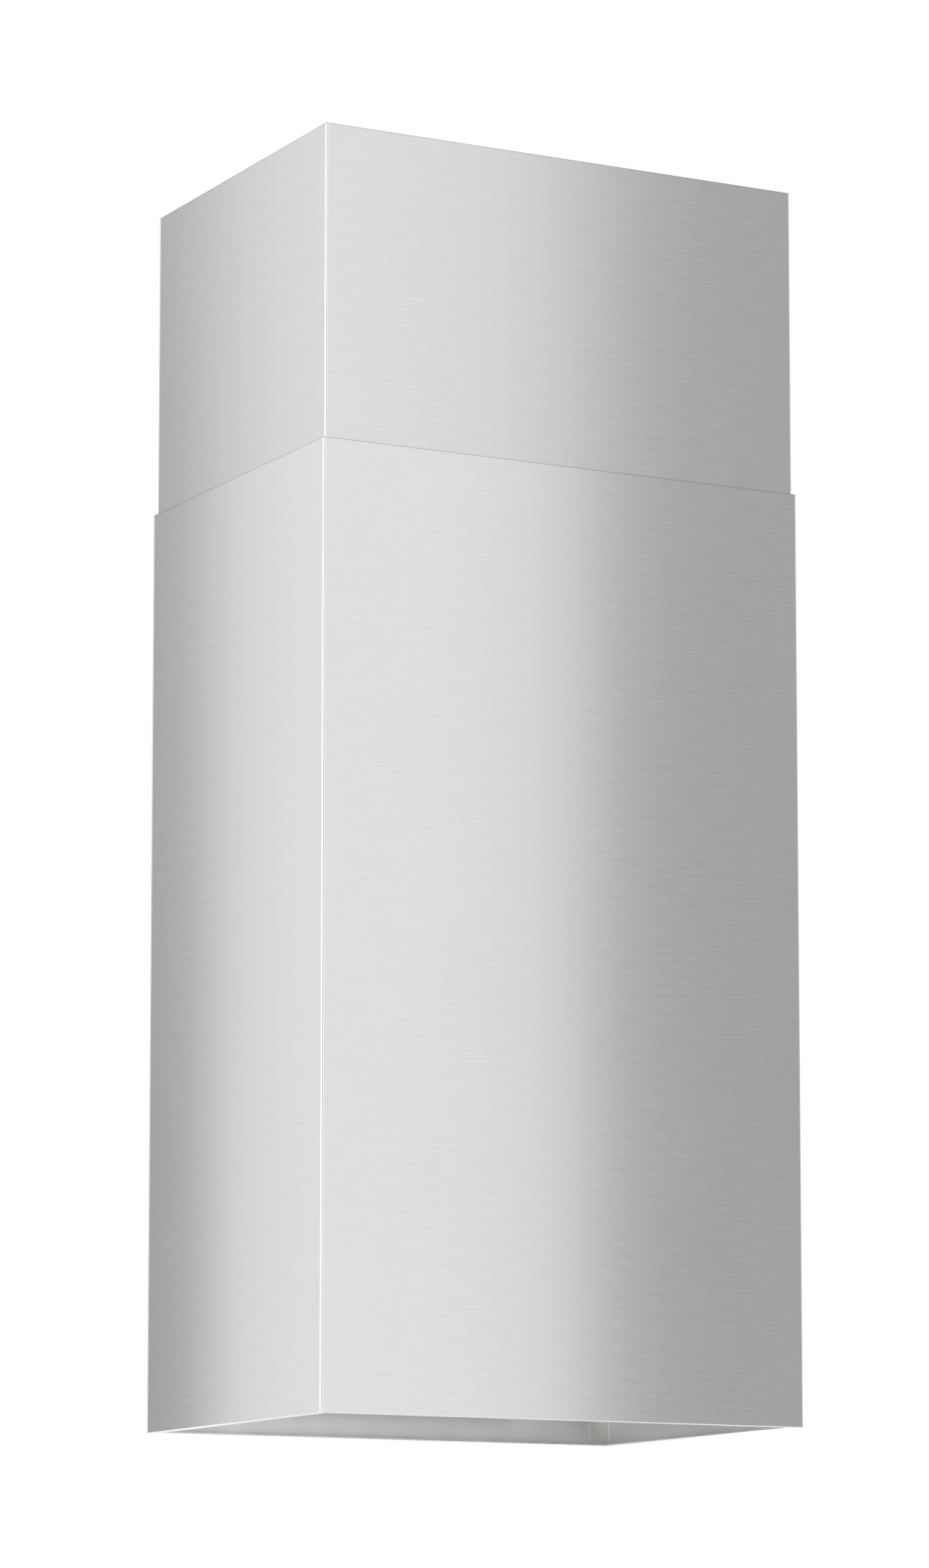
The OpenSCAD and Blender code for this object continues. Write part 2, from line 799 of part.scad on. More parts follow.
module duct_clamp() {
    z0 = box_top + 23;
    color("silver") {
        tube(lower_duct_r + 0.9, lower_duct_r + eps, z0, z0 + 9);
        block([-8, -(lower_duct_r + 7), z0 - 0.5], [8, -(lower_duct_r + 0.5), z0 + 9.5]);
        translate([-13, -(lower_duct_r + 4), z0 + 4.5]) rotate([0, 90, 0]) cylinder(h = 6, r = 3, $fn = 6);
    }
}

module damper_pin() {
    color("silver") translate([0, 0, damper_z]) rotate([90, 0, 0])
        cylinder(h = 2 * collar_r + 0.4, r = 1.5, center = true, $fn = 24);
}

// Half-round flap with two knuckles on the pin. side is -1 for left, 1 for right.
module damper_flap(side, knuckles) {
    reach = 3.6;
    color([0.3, 0.3, 0.32]) translate([0, 0, damper_z]) difference() {
        union() {
            translate([0, 0, -0.5]) linear_extrude(1) intersection() {
                circle(flap_r, $fn = fine);
                translate([side > 0 ? reach : -flap_r, -flap_r]) square([flap_r - reach, 2 * flap_r]);
            }
            for (y = knuckles) {
                translate([0, y + 16, 0]) rotate([90, 0, 0]) cylinder(h = 16, r = 3, $fn = 32);
                block([side > 0 ? 0 : -reach - 1, y, -0.5], [side > 0 ? reach + 1 : 0, y + 16, 0.5]);
            }
        }
        rotate([90, 0, 0]) cylinder(h = 200, r = 1.58, center = true, $fn = 24);
    }
}

// ---------- wiring ----------

module junction_box() {
    color([0.85, 0.85, 0.82]) {
        difference() {
            block([96, -60, box_top], [150, 60, box_top + 34]);
            block([98, -58, box_top + 2], [148, 58, box_top + 35]);
            translate([123, 60, box_top + 18]) rotate([90, 0, 0])
                cylinder(h = 8, r = 8 + eps, center = true, $fn = 32);
        }
        block([96, -60, box_top + 34.2], [150, 60, box_top + 37]);
    }
}

module cable_gland() {
    color([0.1, 0.1, 0.1]) translate([123, 58, box_top + 18]) rotate([-90, 0, 0]) difference() {
        union() {
            translate([0, 0, -6]) cylinder(h = 9, r = 8, $fn = 32);
            translate([0, 0, 2.1]) cylinder(h = 5, r = 11, $fn = 6);
            translate([0, 0, 7]) cylinder(h = 8, r1 = 9.5, r2 = 7, $fn = 32);
        }
        translate([0, 0, -8]) cylinder(h = 30, r = 4, $fn = 32);
    }
}

module lamp_driver() {
    color("white") {
        block([-150, -55, box_top], [-100, 45, box_top + 24]);
        for (y = [-63, 45]) block([-132, y, box_top], [-118, y + 8, box_top + 2]);
    }
}

module capacitor() {
    color([0.85, 0.85, 0.88]) translate([-124, 80, box_top]) {
        cylinder(h = 46, r = 16, $fn = 48);
        cylinder(h = 50, r = 12, $fn = 48);
        for (x = [-5, 5]) translate([x - 1.5, -3, 49]) cube([3, 6, 8]);
    }
}

ceiling_plate();
upper_post(-1, -1);  // upper_post_front_left
upper_post(1, -1);  // upper_post_front_right
upper_post(-1, 1);  // upper_post_rear_left
upper_post(1, 1);  // upper_post_rear_right
upper_frame_ring();
upper_frame_screws();
duct_socket();
upper_duct();
cover_spring_clips();
cable_grommet();
upper_cover_shell();
upper_cover_rear_panel();
upper_cover_rivets();
lower_cover_shell();
lower_cover_rear_panel();
lower_cover_rivets();
cover_rails();
lower_post(-1, -1);  // lower_post_front_left
lower_post(1, -1);  // lower_post_front_right
lower_post(-1, 1);  // lower_post_rear_left
lower_post(1, 1);  // lower_post_rear_right
lower_frame_ring();
height_bolts();
height_nuts();
blower_box();
hood_screws();
underside_tray();
scroll_wrap();
scroll_front_plate();
scroll_rear_plate();
motor_can();
motor_bracket();
motor_bushes();
outlet_collar();
damper_pin();
lower_duct();
duct_clamp();
junction_box();
cable_gland();
lamp_driver();
capacitor();
control_panel();
control_housing();
control_board();
lamp_bezels();
lamp_lenses();
lamp_housings();
filter_magnets();
fan_wheel();
motor_shaft();
filter_frame();
filter_baffles();
filter_bail();
push_button(0);  // button_light
push_button(1);  // button_power
push_button(2);  // button_slower
push_button(3);  // button_faster
damper_flap(-1, [-48, 14]);  // damper_flap_left
damper_flap(1, [-30, 32]);  // damper_flap_right
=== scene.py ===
# %% [markdown]
# # A straight-column island range hood
# The hood hangs from a ceiling. Two nested steel sleeves hide a telescopic frame, a round duct
# and a blower. Each measured part comes from the frame, and this notebook gives it its looks:
# brushed sheet, galvanised frame parts, fasteners, lenses and buttons.

# %% Load the measured parts
import json
import math

import bmesh
import bpy
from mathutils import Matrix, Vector

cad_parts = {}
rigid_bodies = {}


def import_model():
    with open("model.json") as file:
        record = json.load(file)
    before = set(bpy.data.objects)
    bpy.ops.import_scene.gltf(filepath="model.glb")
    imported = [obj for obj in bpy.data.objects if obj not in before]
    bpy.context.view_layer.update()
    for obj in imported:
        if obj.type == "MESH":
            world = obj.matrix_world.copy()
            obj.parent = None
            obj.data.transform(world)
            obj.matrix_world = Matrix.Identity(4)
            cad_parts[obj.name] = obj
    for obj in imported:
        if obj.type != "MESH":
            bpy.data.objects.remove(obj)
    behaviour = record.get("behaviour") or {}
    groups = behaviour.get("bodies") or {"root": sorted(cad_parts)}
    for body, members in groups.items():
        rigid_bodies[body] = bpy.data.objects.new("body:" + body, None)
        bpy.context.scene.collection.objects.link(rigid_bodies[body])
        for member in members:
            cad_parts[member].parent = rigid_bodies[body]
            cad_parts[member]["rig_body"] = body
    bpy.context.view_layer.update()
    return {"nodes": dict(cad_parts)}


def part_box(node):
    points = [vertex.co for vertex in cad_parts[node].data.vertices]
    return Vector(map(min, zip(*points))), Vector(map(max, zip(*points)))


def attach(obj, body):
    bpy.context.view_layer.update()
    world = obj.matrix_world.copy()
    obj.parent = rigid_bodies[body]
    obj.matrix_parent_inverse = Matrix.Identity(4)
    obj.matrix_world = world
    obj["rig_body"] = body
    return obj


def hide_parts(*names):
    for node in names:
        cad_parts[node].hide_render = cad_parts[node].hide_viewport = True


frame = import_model()
parts = frame["nodes"]
MM = 0.001
MERGE = 0.002 * MM

# %% [markdown]
# ## Camera
# A column's upright edges stay nearly parallel when the camera is held almost level and its
# lens is shifted up, as it is for buildings. A long lens keeps the far faces from
# shrinking. The camera stands a little lower than the hood, off its front left corner.

# %% Camera
camera_data = bpy.data.cameras.new("camera")
camera_data.lens = 126.4
camera_data.sensor_width = 36
camera_data.shift_y = 0.15
camera = bpy.data.objects.new("camera", camera_data)
camera.location = (-1.645, -3.091, -1.002)
camera_turn = math.radians(27.94)
camera_tilt = math.radians(7.57)
camera.rotation_euler = (math.radians(90) + camera_tilt, 0, -camera_turn)
bpy.context.scene.collection.objects.link(camera)
bpy.context.scene.camera = camera

# %% [markdown]
# ## Room and light
# Brushed steel shows what stands around it, smeared across its grain. Large soft panels stand
# beside the hood, and each face mirrors one panel's edge as a soft upright band. A panel adds its
# light to the world's, so a face that mirrors one shows the sum. The world is white behind the
# hood, and in its reflections a neutral grey that pales towards the ceiling.

# %% Room
scene = bpy.context.scene
scene.view_settings.view_transform = "Standard"
FLOOR_Z = -2.45
HORIZON_GREY = (0.444, 0.444, 0.442, 1)
CEILING_GREY = (0.8, 0.8, 0.8, 1)


def world_tree():
    world = bpy.data.worlds.new("studio")
    world.use_nodes = True
    scene.world = world
    tree = world.node_tree
    tree.nodes.clear()
    seen = tree.nodes.new("ShaderNodeBackground")
    seen.inputs["Color"].default_value = (1, 1, 1, 1)
    mirrored = tree.nodes.new("ShaderNodeBackground")
    direction = tree.nodes.new("ShaderNodeTexCoord")
    split = tree.nodes.new("ShaderNodeSeparateXYZ")
    ramp = tree.nodes.new("ShaderNodeValToRGB")
    ramp.color_ramp.elements[0].color = HORIZON_GREY
    ramp.color_ramp.elements[1].color = CEILING_GREY
    path = tree.nodes.new("ShaderNodeLightPath")
    mix = tree.nodes.new("ShaderNodeMixShader")
    out = tree.nodes.new("ShaderNodeOutputWorld")
    tree.links.new(direction.outputs["Generated"], split.inputs[0])
    tree.links.new(split.outputs["Z"], ramp.inputs[0])
    tree.links.new(ramp.outputs[0], mirrored.inputs["Color"])
    tree.links.new(path.outputs["Is Camera Ray"], mix.inputs[0])
    tree.links.new(mirrored.outputs[0], mix.inputs[1])
    tree.links.new(seen.outputs[0], mix.inputs[2])
    tree.links.new(mix.outputs[0], out.inputs["Surface"])


def panel(name, centre, aim, width, height, radiance, tint=(1, 1, 1)):
    """A soft light panel that faces aim and gives off the same radiance all over."""
    data = bpy.data.lights.new(name, "AREA")
    data.shape = "RECTANGLE"
    data.size = width
    data.size_y = height
    data.energy = radiance * math.pi * width * height
    data.color = tint
    lamp = bpy.data.objects.new(name, data)
    lamp.location = centre
    lamp.rotation_euler = (Vector(aim) - Vector(centre)).to_track_quat("-Z", "Y").to_euler()
    lamp.visible_camera = False
    scene.collection.objects.link(lamp)


COOL_WHITE = (0.985, 1.0, 0.995)
BAND_RADIANCE = 0.6
FILL_RADIANCE = 0.4
world_tree()
panel(
    "front_right_panel", (0.35, -1.75, -0.4), (0.35, 0, -0.4), 1.16, 3.6,
    BAND_RADIANCE, COOL_WHITE,
)
panel(
    "back_left_panel", (-1.09, 0.9, -0.4), (-1.09, 0, -0.4), 1.02, 3.6,
    BAND_RADIANCE, COOL_WHITE,
)
panel("corner_panel", (-1.75, -0.25, -0.4), (0, -0.25, -0.4), 2.3, 3.6, BAND_RADIANCE)
panel("rear_panel", (1.0, 2.2, -0.5), (1.0, 0, -0.5), 2.0, 3.8, FILL_RADIANCE, COOL_WHITE)
panel("right_panel", (2.2, 1.05, -0.5), (0, 1.05, -0.5), 2.0, 3.8, FILL_RADIANCE, COOL_WHITE)
panel("overhead_panel", (0, 0.3, 2.4), (0, 0, 0), 3.0, 3.0, FILL_RADIANCE)

# %% Floor
floor_mesh = bpy.data.meshes.new("floor")
floor_edit = bmesh.new()
bmesh.ops.create_grid(floor_edit, x_segments=1, y_segments=1, size=60)
floor_edit.to_mesh(floor_mesh)
floor_edit.free()
floor = bpy.data.objects.new("floor", floor_mesh)
floor.location.z = FLOOR_Z
scene.collection.objects.link(floor)

# %% [markdown]
# ## Shader maths
# A finish is easier to read as a sum than as a web of nodes. This class wraps a node's output,
# so that an expression such as `0.3 + grain * 0.1` adds the Math nodes by itself.


# %% Shader maths
class Shade:
    """A value or colour over a surface, held as a node's output."""

    def __init__(self, tree, socket=None):
        self.tree = tree
        self.socket = socket

    def node(self, kind, settings=None, inputs=None, output=0):
        """Adds a node: its settings first, then the values or links of its inputs."""
        made = self.tree.nodes.new(kind)
        for name, value in (settings or {}).items():
            if name == "stops":
                self.set_stops(made.color_ramp, value)
            else:
                setattr(made, name, value)
        for key, value in (inputs or {}).items():
            if isinstance(value, Shade):
                self.tree.links.new(value.socket, made.inputs[key])
            else:
                made.inputs[key].default_value = value
        return Shade(self.tree, made.outputs[output])

    @staticmethod
    def set_stops(ramp, stops):
        while len(ramp.elements) < len(stops):
            ramp.elements.new(0.5)
        for element, (place, colour) in zip(ramp.elements, stops):
            element.position = place
            element.color = (*colour, 1)

    def maths(self, operation, *values):
        return self.node("ShaderNodeMath", {"operation": operation}, dict(enumerate(values)))

    def __add__(self, other):
        return self.maths("ADD", self, other)

    def __radd__(self, other):
        return self.maths("ADD", other, self)

    def __sub__(self, other):
        return self.maths("SUBTRACT", self, other)

    def __rsub__(self, other):
        return self.maths("SUBTRACT", other, self)

    def __mul__(self, other):
        return self.maths("MULTIPLY", self, other)

    def __rmul__(self, other):
        return self.maths("MULTIPLY", other, self)

    def __abs__(self):
        return self.maths("ABSOLUTE", self)

    def over(self, low, high):
        """0 below low, 1 above high, and a smooth step between them."""
        return self.node(
            "ShaderNodeMapRange",
            {"interpolation_type": "SMOOTHSTEP"},
            {"Value": self, "From Min": low, "From Max": high},
        )

    def spread(self):
        """Noise stays near one half, so this stretches its middle part from 0 to 1."""
        return self.over(0.3, 0.7)

    def mix(self, first, second):
        """The first colour where this is 0 and the second where it is 1."""
        return self.node(
            "ShaderNodeMix",
            {"data_type": "RGBA"},
            {"Factor": self, 6: first, 7: second},
            output=2,
        )

    def bump(self, depth, distance=MM):
        """A normal that follows this height. depth is the effect's share."""
        inputs = {"Strength": depth, "Distance": distance, "Height": self}
        return self.node("ShaderNodeBump", {}, inputs)


class Finish:
    """A material with one main shader. Constants are set on the shader's own sockets."""

    def __init__(self, name, **constants):
        self.material = bpy.data.materials.new(name)
        self.material.use_nodes = True
        self.tree = self.material.node_tree
        self.shader = self.tree.nodes["Principled BSDF"]
        for socket, value in constants.items():
            self.shader.inputs[socket.replace("_", " ")].default_value = value
        self.start = Shade(self.tree)
        self.place = self.start.node("ShaderNodeTexCoord", output="Object")
        self.x, self.y, self.z = (
            self.start.node("ShaderNodeSeparateXYZ", {}, {0: self.place}, output=axis)
            for axis in range(3)
        )

    def feed(self, socket, value):
        self.tree.links.new(value.socket, self.shader.inputs[socket])

    def vector(self, x, y, z):
        return self.start.node("ShaderNodeCombineXYZ", {}, {0: x, 1: y, 2: z})

    def noise(self, vector, scale=1.0, detail=2.0, roughness=0.5):
        inputs = {"Vector": vector, "Scale": scale, "Detail": detail, "Roughness": roughness}
        return self.start.node("ShaderNodeTexNoise", {}, inputs)

    def crystals(self, vector, scale):
        """A random tone for each crystal, with borders that are a little soft."""
        inputs = {"Vector": vector, "Scale": scale, "Smoothness": 0.25}
        return self.start.node("ShaderNodeTexVoronoi", {"feature": "SMOOTH_F1"}, inputs, "Color")

    def colour(self, tone, dark, light):
        self.feed("Base Color", tone.mix((*dark, 1), (*light, 1)))


# %% [markdown]
# ## Floor finish
# The floor is plain and pale. Its underside lets the eye through, so the hood's underside can
# still be looked at from far below.

# %% Floor finish
floor_finish = Finish(
    "pale_floor", Roughness=0.9, Emission_Color=(1, 1, 1, 1), Emission_Strength=0.12
)
floor_finish.colour(
    floor_finish.noise(floor_finish.place, 1.5), (0.82, 0.82, 0.81), (0.86, 0.86, 0.85)
)
floor_tree = floor_finish.tree
under = floor_finish.start.node("ShaderNodeNewGeometry", output="Backfacing")
clear = floor_finish.start.node("ShaderNodeBsdfTransparent")
floor_surface = Shade(floor_tree, floor_finish.shader.outputs[0])
shown = floor_finish.start.node("ShaderNodeMixShader", {}, {0: under, 1: floor_surface, 2: clear})
floor_tree.links.new(shown.socket, floor_tree.nodes["Material Output"].inputs["Surface"])
floor_mesh.materials.append(floor_finish.material)

# %% [markdown]
# ## Brushed stainless sheet
# Belt grinding leaves lines a fraction of a millimetre wide and some centimetres long. On the
# sleeves they run level, round all four faces. The lines scatter light up and down much more
# than sideways, so an anisotropic shader smears reflections upright, and stretched noise adds
# the lines that the eye can just see. The folds carry a painted highlight, almost white, and the
# top edges a painted dark line of shade.


# %% Brushed stainless
LINE_DARK = 0.974
LINE_LIGHT = 1.022
FOLD_WIDTH = 1.5 * MM
SKIN_DEPTH = 0.6 * MM
# Colours of the painted highlight on the folds and of the painted shade along the top edge.
FOLD_HIGHLIGHT_WHITE = (0.97, 0.97, 0.97, 1)
TOP_EDGE_SHADE_GREY = (0.4, 0.4, 0.39, 1)
# The inner side is unbrushed mill finish. Its colour is set paler than the steel, as painted light
# for the shaded inside of the sleeves.
INNER_MILL_AND_PAINTED_LIGHT = (0.9, 0.9, 0.89, 1)
INNER_ROUGH = 0.34


def brushed(name, run_of, across_of, tint, rough, smear, sleeve=None):
    """run_of and across_of pick the lines' directions from the finish's x, y and z."""
    f = Finish(name, Metallic=1.0, Anisotropic=smear, Anisotropic_Rotation=0.25)
    run = run_of(f)
    across = across_of(f)
    fine = f.noise(f.vector(run * 50, across * 1700, 0), detail=3, roughness=0.6)
    strokes = f.noise(f.vector(run * 42, across * 420, 3), detail=2)
    cloud = f.noise(f.place, 7, detail=2)
    lines = fine * 0.5 + strokes * 0.5
    dark = tuple(LINE_DARK * c for c in tint)
    light = tuple(LINE_LIGHT * c for c in tint)
    steel = (lines * 0.8 + cloud * 0.2).spread().mix((*dark, 1), (*light, 1))
    gloss = rough + (lines - 0.5) * 0.04 + (cloud - 0.5) * 0.02
    if sleeve:
        steel, gloss = sleeve_inner_and_painted_light(f, steel, gloss, *sleeve)
    f.feed("Base Color", steel)
    f.feed("Roughness", gloss)
    f.feed("Normal", lines.bump(0.045, 0.05 * MM))
    return f


def sleeve_inner_and_painted_light(f, steel, gloss, half_x, half_y, bottom, top):
    """Adds a sleeve's painted highlight on the folds, painted shade on its top edge, and its inner
    side.
    """
    across = abs(f.x)
    deep = abs(f.y)
    down = f.z * -1

    def near(distance, edge, depth, fade):
        """1 next to the edge, falling over a short fade to 0 at this depth from it."""
        return distance.over(edge - depth, edge - depth + fade)

    # A painted highlight, near white, on the sleeve's upright folds.
    fold_highlight_across = near(across, half_x, FOLD_WIDTH, 0.3 * MM)
    fold_highlight = fold_highlight_across * near(deep, half_y, FOLD_WIDTH, 0.3 * MM)
    sides = near(across, half_x, SKIN_DEPTH, 0.2 * MM) + near(deep, half_y, SKIN_DEPTH, 0.2 * MM)
    outside = sides + near(down, -bottom, SKIN_DEPTH, 0.2 * MM)
    outside = outside.maths("MINIMUM", outside, 1)
    # A painted dark line of shade along the sleeve's top edge.
    top_edge_shade = near(f.z, top, 0.45 * MM, 0.1 * MM)
    # The inside of the sleeve gets its paler colour: part mill finish, part painted light.
    steel = outside.mix(INNER_MILL_AND_PAINTED_LIGHT, steel)
    # The painted fold highlight and the painted top-edge shade go over the steel's own colour.
    steel = top_edge_shade.mix(fold_highlight.mix(steel, FOLD_HIGHLIGHT_WHITE), TOP_EDGE_SHADE_GREY)
    return steel, outside * gloss + (1 - outside) * INNER_ROUGH


def level_run(f):
    return f.x + f.y


STEEL = (0.664, 0.665, 0.665)
OLDER_STEEL = (0.65, 0.65, 0.65)
lower_low, lower_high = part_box("lower_cover_shell")
upper_low, upper_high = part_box("upper_cover_shell")
lower_steel = brushed(
    "brushed_lower", level_run, lambda f: f.z, STEEL, 0.195, 0.9,
    (lower_high.x, -lower_low.y, lower_low.z, lower_high.z),
)
upper_steel = brushed(
    "brushed_upper", level_run, lambda f: f.z, OLDER_STEEL, 0.23, 0.9,
    (upper_high.x, -upper_low.y, upper_low.z, upper_high.z),
)
tray_steel = brushed("brushed_tray", lambda f: f.x, lambda f: f.y + f.z, STEEL, 0.30, 0.0)
filter_steel = brushed("brushed_filter", lambda f: f.y, lambda f: f.x + f.z, STEEL, 0.32, 0.0)
print("steel is brushed level on the sleeves and along the baffles on the filter")

# %% [markdown]
# ## Galvanised sheet and mill aluminium
# Zinc freezes on hot-dipped steel in flat crystals, each of which mirrors a little differently.
# Voronoi cells give each crystal its own tone and gloss. The ducts' aluminium comes off the mill
# with faint streaks along the strip, which stand upright once the strip is rolled to a tube.


# %% Galvanised sheet and mill aluminium
def spangled(name, dark, light, size, rough):
    f = Finish(name, Metallic=0.9)
    crystals = f.crystals(f.place, 1 / size)
    frost = f.noise(f.place, 260, detail=4, roughness=0.65)
    haze = f.noise(f.place, 12, detail=3)
    tone = crystals * 0.45 + frost * 0.3 + haze * 0.25
    f.colour(tone.over(0.25, 0.75), dark, light)
    f.feed("Roughness", rough + (crystals - 0.5) * 0.16)
    f.feed("Normal", frost.bump(0.08, 0.1 * MM))
    return f


FRAME_CRYSTAL = 9 * MM
FAN_CRYSTAL = 3 * MM
galvanised = spangled("galvanised", (0.47, 0.49, 0.51), (0.66, 0.68, 0.70), FRAME_CRYSTAL, 0.36)
fan_zinc = spangled("fan_zinc", (0.56, 0.57, 0.59), (0.68, 0.69, 0.71), FAN_CRYSTAL, 0.32)

aluminium = Finish("mill_aluminium", Metallic=1.0)
streaks = aluminium.noise(
    aluminium.vector(aluminium.x * 180, aluminium.y * 180, aluminium.z * 4), detail=3
)
smudges = aluminium.noise(aluminium.place, 25, detail=3)
strip_tone = (streaks * 0.6 + smudges * 0.4).spread()
aluminium.colour(strip_tone, (0.72, 0.73, 0.74), (0.84, 0.85, 0.86))
aluminium.feed("Roughness", 0.2 + streaks * 0.1 + smudges * 0.12)
aluminium.feed("Normal", streaks.bump(0.1, 0.1 * MM))
print("crystals of", FRAME_CRYSTAL, "m on the frame and", FAN_CRYSTAL, "m on the fan")

# %% [markdown]
# ## Plain finishes
# Enamel, rubber, plastic, plated screws and drawn wire differ in colour, gloss and grain, but
# each is one colour that clouds a little over the surface. One recipe makes them all: a cloud
# for handling marks and a fine grain for the mould's or the paint's texture.


# %% Plain finishes
def plain(name, dark, light, rough, cloud_scale, grain_scale, grain_depth, **constants):
    f = Finish(name, **constants)
    cloud = f.noise(f.place, cloud_scale, detail=4, roughness=0.6)
    grain = f.noise(f.place, grain_scale, detail=2)
    f.colour((cloud * 0.8 + grain * 0.2).spread(), dark, light)
    f.feed("Roughness", rough + (cloud - 0.5) * 0.2)
    f.feed("Normal", grain.bump(grain_depth, 0.1 * MM))
    return f


zinc = plain(
    "zinc_plate", (0.52, 0.53, 0.55), (0.70, 0.69, 0.64), 0.3, 90, 900, 0.05, Metallic=1.0
)
bright = plain(
    "bright_wire", (0.62, 0.62, 0.61), (0.74, 0.74, 0.73), 0.16, 60, 1200, 0.04, Metallic=1.0
)
enamel = plain("motor_enamel", (0.075, 0.08, 0.09), (0.11, 0.12, 0.13), 0.34, 30, 500, 0.25)
damper = plain(
    "damper_paint", (0.27, 0.28, 0.29), (0.33, 0.34, 0.35), 0.4, 25, 700, 0.15, Metallic=0.4
)
rubber = plain("black_rubber", (0.022, 0.022, 0.022), (0.05, 0.05, 0.05), 0.62, 60, 900, 0.3)
black = plain("black_plastic", (0.035, 0.035, 0.038), (0.055, 0.055, 0.06), 0.42, 20, 1600, 0.35)
pale = plain("pale_plastic", (0.74, 0.73, 0.70), (0.82, 0.81, 0.78), 0.45, 18, 1300, 0.2)
satin = plain(
    "button_satin", (0.55, 0.56, 0.57), (0.66, 0.67, 0.68), 0.3, 120, 2000, 0.1, Metallic=0.6
)
sign_ink = plain("button_sign", (0.05, 0.05, 0.055), (0.08, 0.08, 0.085), 0.4, 150, 2000, 0.1)
glass = plain(
    "frosted_lens", (0.90, 0.90, 0.86), (0.96, 0.96, 0.93), 0.4, 30, 2500, 0.2,
    Transmission_Weight=0.35, IOR=1.49,
)

# %% [markdown]
# ## Circuit board
# A lacquered board shows its copper as slightly lighter paths under the green. A brick pattern
# with wide joints reads as tracks between pads, and the lacquer keeps one gloss over both.

# %% Circuit board
board = Finish("lacquered_board", Roughness=0.25, Coat_Weight=0.5)
tracks = board.start.node(
    "ShaderNodeTexBrick",
    {},
    {
        "Vector": board.place, "Color1": (0, 0, 0, 1), "Color2": (0.35, 0.35, 0.35, 1),
        "Mortar": (1, 1, 1, 1), "Scale": 150, "Mortar Size": 0.012,
    },
)
board.colour(tracks, (0.015, 0.16, 0.06), (0.05, 0.30, 0.13))
print(len(bpy.data.materials), "materials so far")

# %% [markdown]
# ## Clean copies of the measured parts
# A measured part arrives as loose triangles with knife-sharp edges. Real sheet is sheared and
# wiped, so its edges are a few tenths of a millimetre round and catch a thin line of light. Each
# part is copied, its triangles are merged into whole faces, and a small bevel with weighted
# normals rounds the edges while the flat faces stay flat.


# %% Helpers that the pieces share
def merged(node):
    """A measured part's mesh, open for editing, with its loose triangles joined."""
    edit = bmesh.new()
    edit.from_mesh(parts[node].data)
    bmesh.ops.remove_doubles(edit, verts=edit.verts, dist=MERGE)
    return edit


def closed(edit, name, material=None):
    """Ends the editing and returns the result as a mesh."""
    mesh = bpy.data.meshes.new(name)
    edit.to_mesh(mesh)
    edit.free()
    if material:
        mesh.materials.append(material)
    return mesh


def placed(name, mesh):
    """A new object in the scene that shows this mesh."""
    piece = bpy.data.objects.new(name, mesh)
    scene.collection.objects.link(piece)
    return piece


def smoothed(mesh, angle):
    """Shades a mesh smooth, except over edges that turn by more than this angle."""
    mesh.shade_smooth()
    mesh.set_sharp_from_angle(angle=math.radians(angle))


# %% Clean copies
def refine(node, finish, edge):
    """Copies a measured part with clean faces and rounded edges, to stand for it."""
    edit = merged(node)
    bmesh.ops.dissolve_limit(
        edit, angle_limit=math.radians(0.5), verts=edit.verts, edges=edit.edges
    )
    mesh = closed(edit, node + "_finished")
    for leftover in [a.name for a in mesh.attributes if a.name == "custom_normal"]:
        mesh.attributes.remove(mesh.attributes[leftover])
    smoothed(mesh, 35)
    mesh.materials.clear()
    mesh.materials.append(finish.material)
    copy = placed(node + "_finished", mesh)
    if edge:
        bevel = copy.modifiers.new("rounded_edges", "BEVEL")
        bevel.width = edge * MM
        bevel.segments = 2
        bevel.limit_method = "ANGLE"
        bevel.angle_limit = math.radians(40)
        bevel.harden_normals = True
    weighted = copy.modifiers.new("flat_faces", "WEIGHTED_NORMAL")
    weighted.keep_sharp = True
    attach(copy, parts[node]["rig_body"])
    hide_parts(node)


# Each row: the finish, the rounding of the edges in millimetres, and the parts.
REFINED = [
    (lower_steel, 0.2, "lower_cover_shell lower_cover_rear_panel"),
    (upper_steel, 0.2, "upper_cover_shell upper_cover_rear_panel"),
    (tray_steel, 0.3, "underside_tray filter_frame cover_rails"),
    (tray_steel, 0.15, "lamp_bezels"),
    (filter_steel, 0.2, "filter_baffles"),
    (galvanised, 0.3, "ceiling_plate upper_post_front_left upper_post_front_right"),
    (galvanised, 0.3, "upper_post_rear_left upper_post_rear_right upper_frame_ring"),
    (galvanised, 0.3, "lower_post_front_left lower_post_front_right lower_post_rear_left"),
    (galvanised, 0.3, "lower_post_rear_right lower_frame_ring blower_box"),
    (galvanised, 0.25, "scroll_wrap scroll_front_plate scroll_rear_plate motor_bracket"),
    (fan_zinc, 0, "fan_wheel"),
    (aluminium, 0.15, "duct_socket upper_duct lower_duct outlet_collar duct_clamp"),
    (aluminium, 0.5, "capacitor lamp_housings"),
    (bright, 0.1, "motor_shaft damper_pin cover_spring_clips filter_magnets"),
    (bright, 0, "filter_bail"),
    (enamel, 0.8, "motor_can"),
    (damper, 0.15, "damper_flap_left damper_flap_right"),
    (rubber, 0.4, "cable_grommet motor_bushes cable_gland"),
    (black, 0.5, "control_panel control_housing"),
    (pale, 0.8, "junction_box lamp_driver"),
    (satin, 0.4, "button_light button_power button_slower button_faster"),
    (board, 0.1, "control_board"),
]
for finish, edge, names in REFINED:
    for node_name in names.split():
        refine(node_name, finish, edge)
print(sum(len(names.split()) for _, _, names in REFINED), "parts have clean copies")

# %% [markdown]
# ## Where the fasteners sit
# The screws, bolts, nuts and rivets of one kind share one measured part. Its mesh falls into
# separate solids. Each solid's widest end is the head, so its middle and the line to the tail
# give the place and axis that a detailed fastener needs.


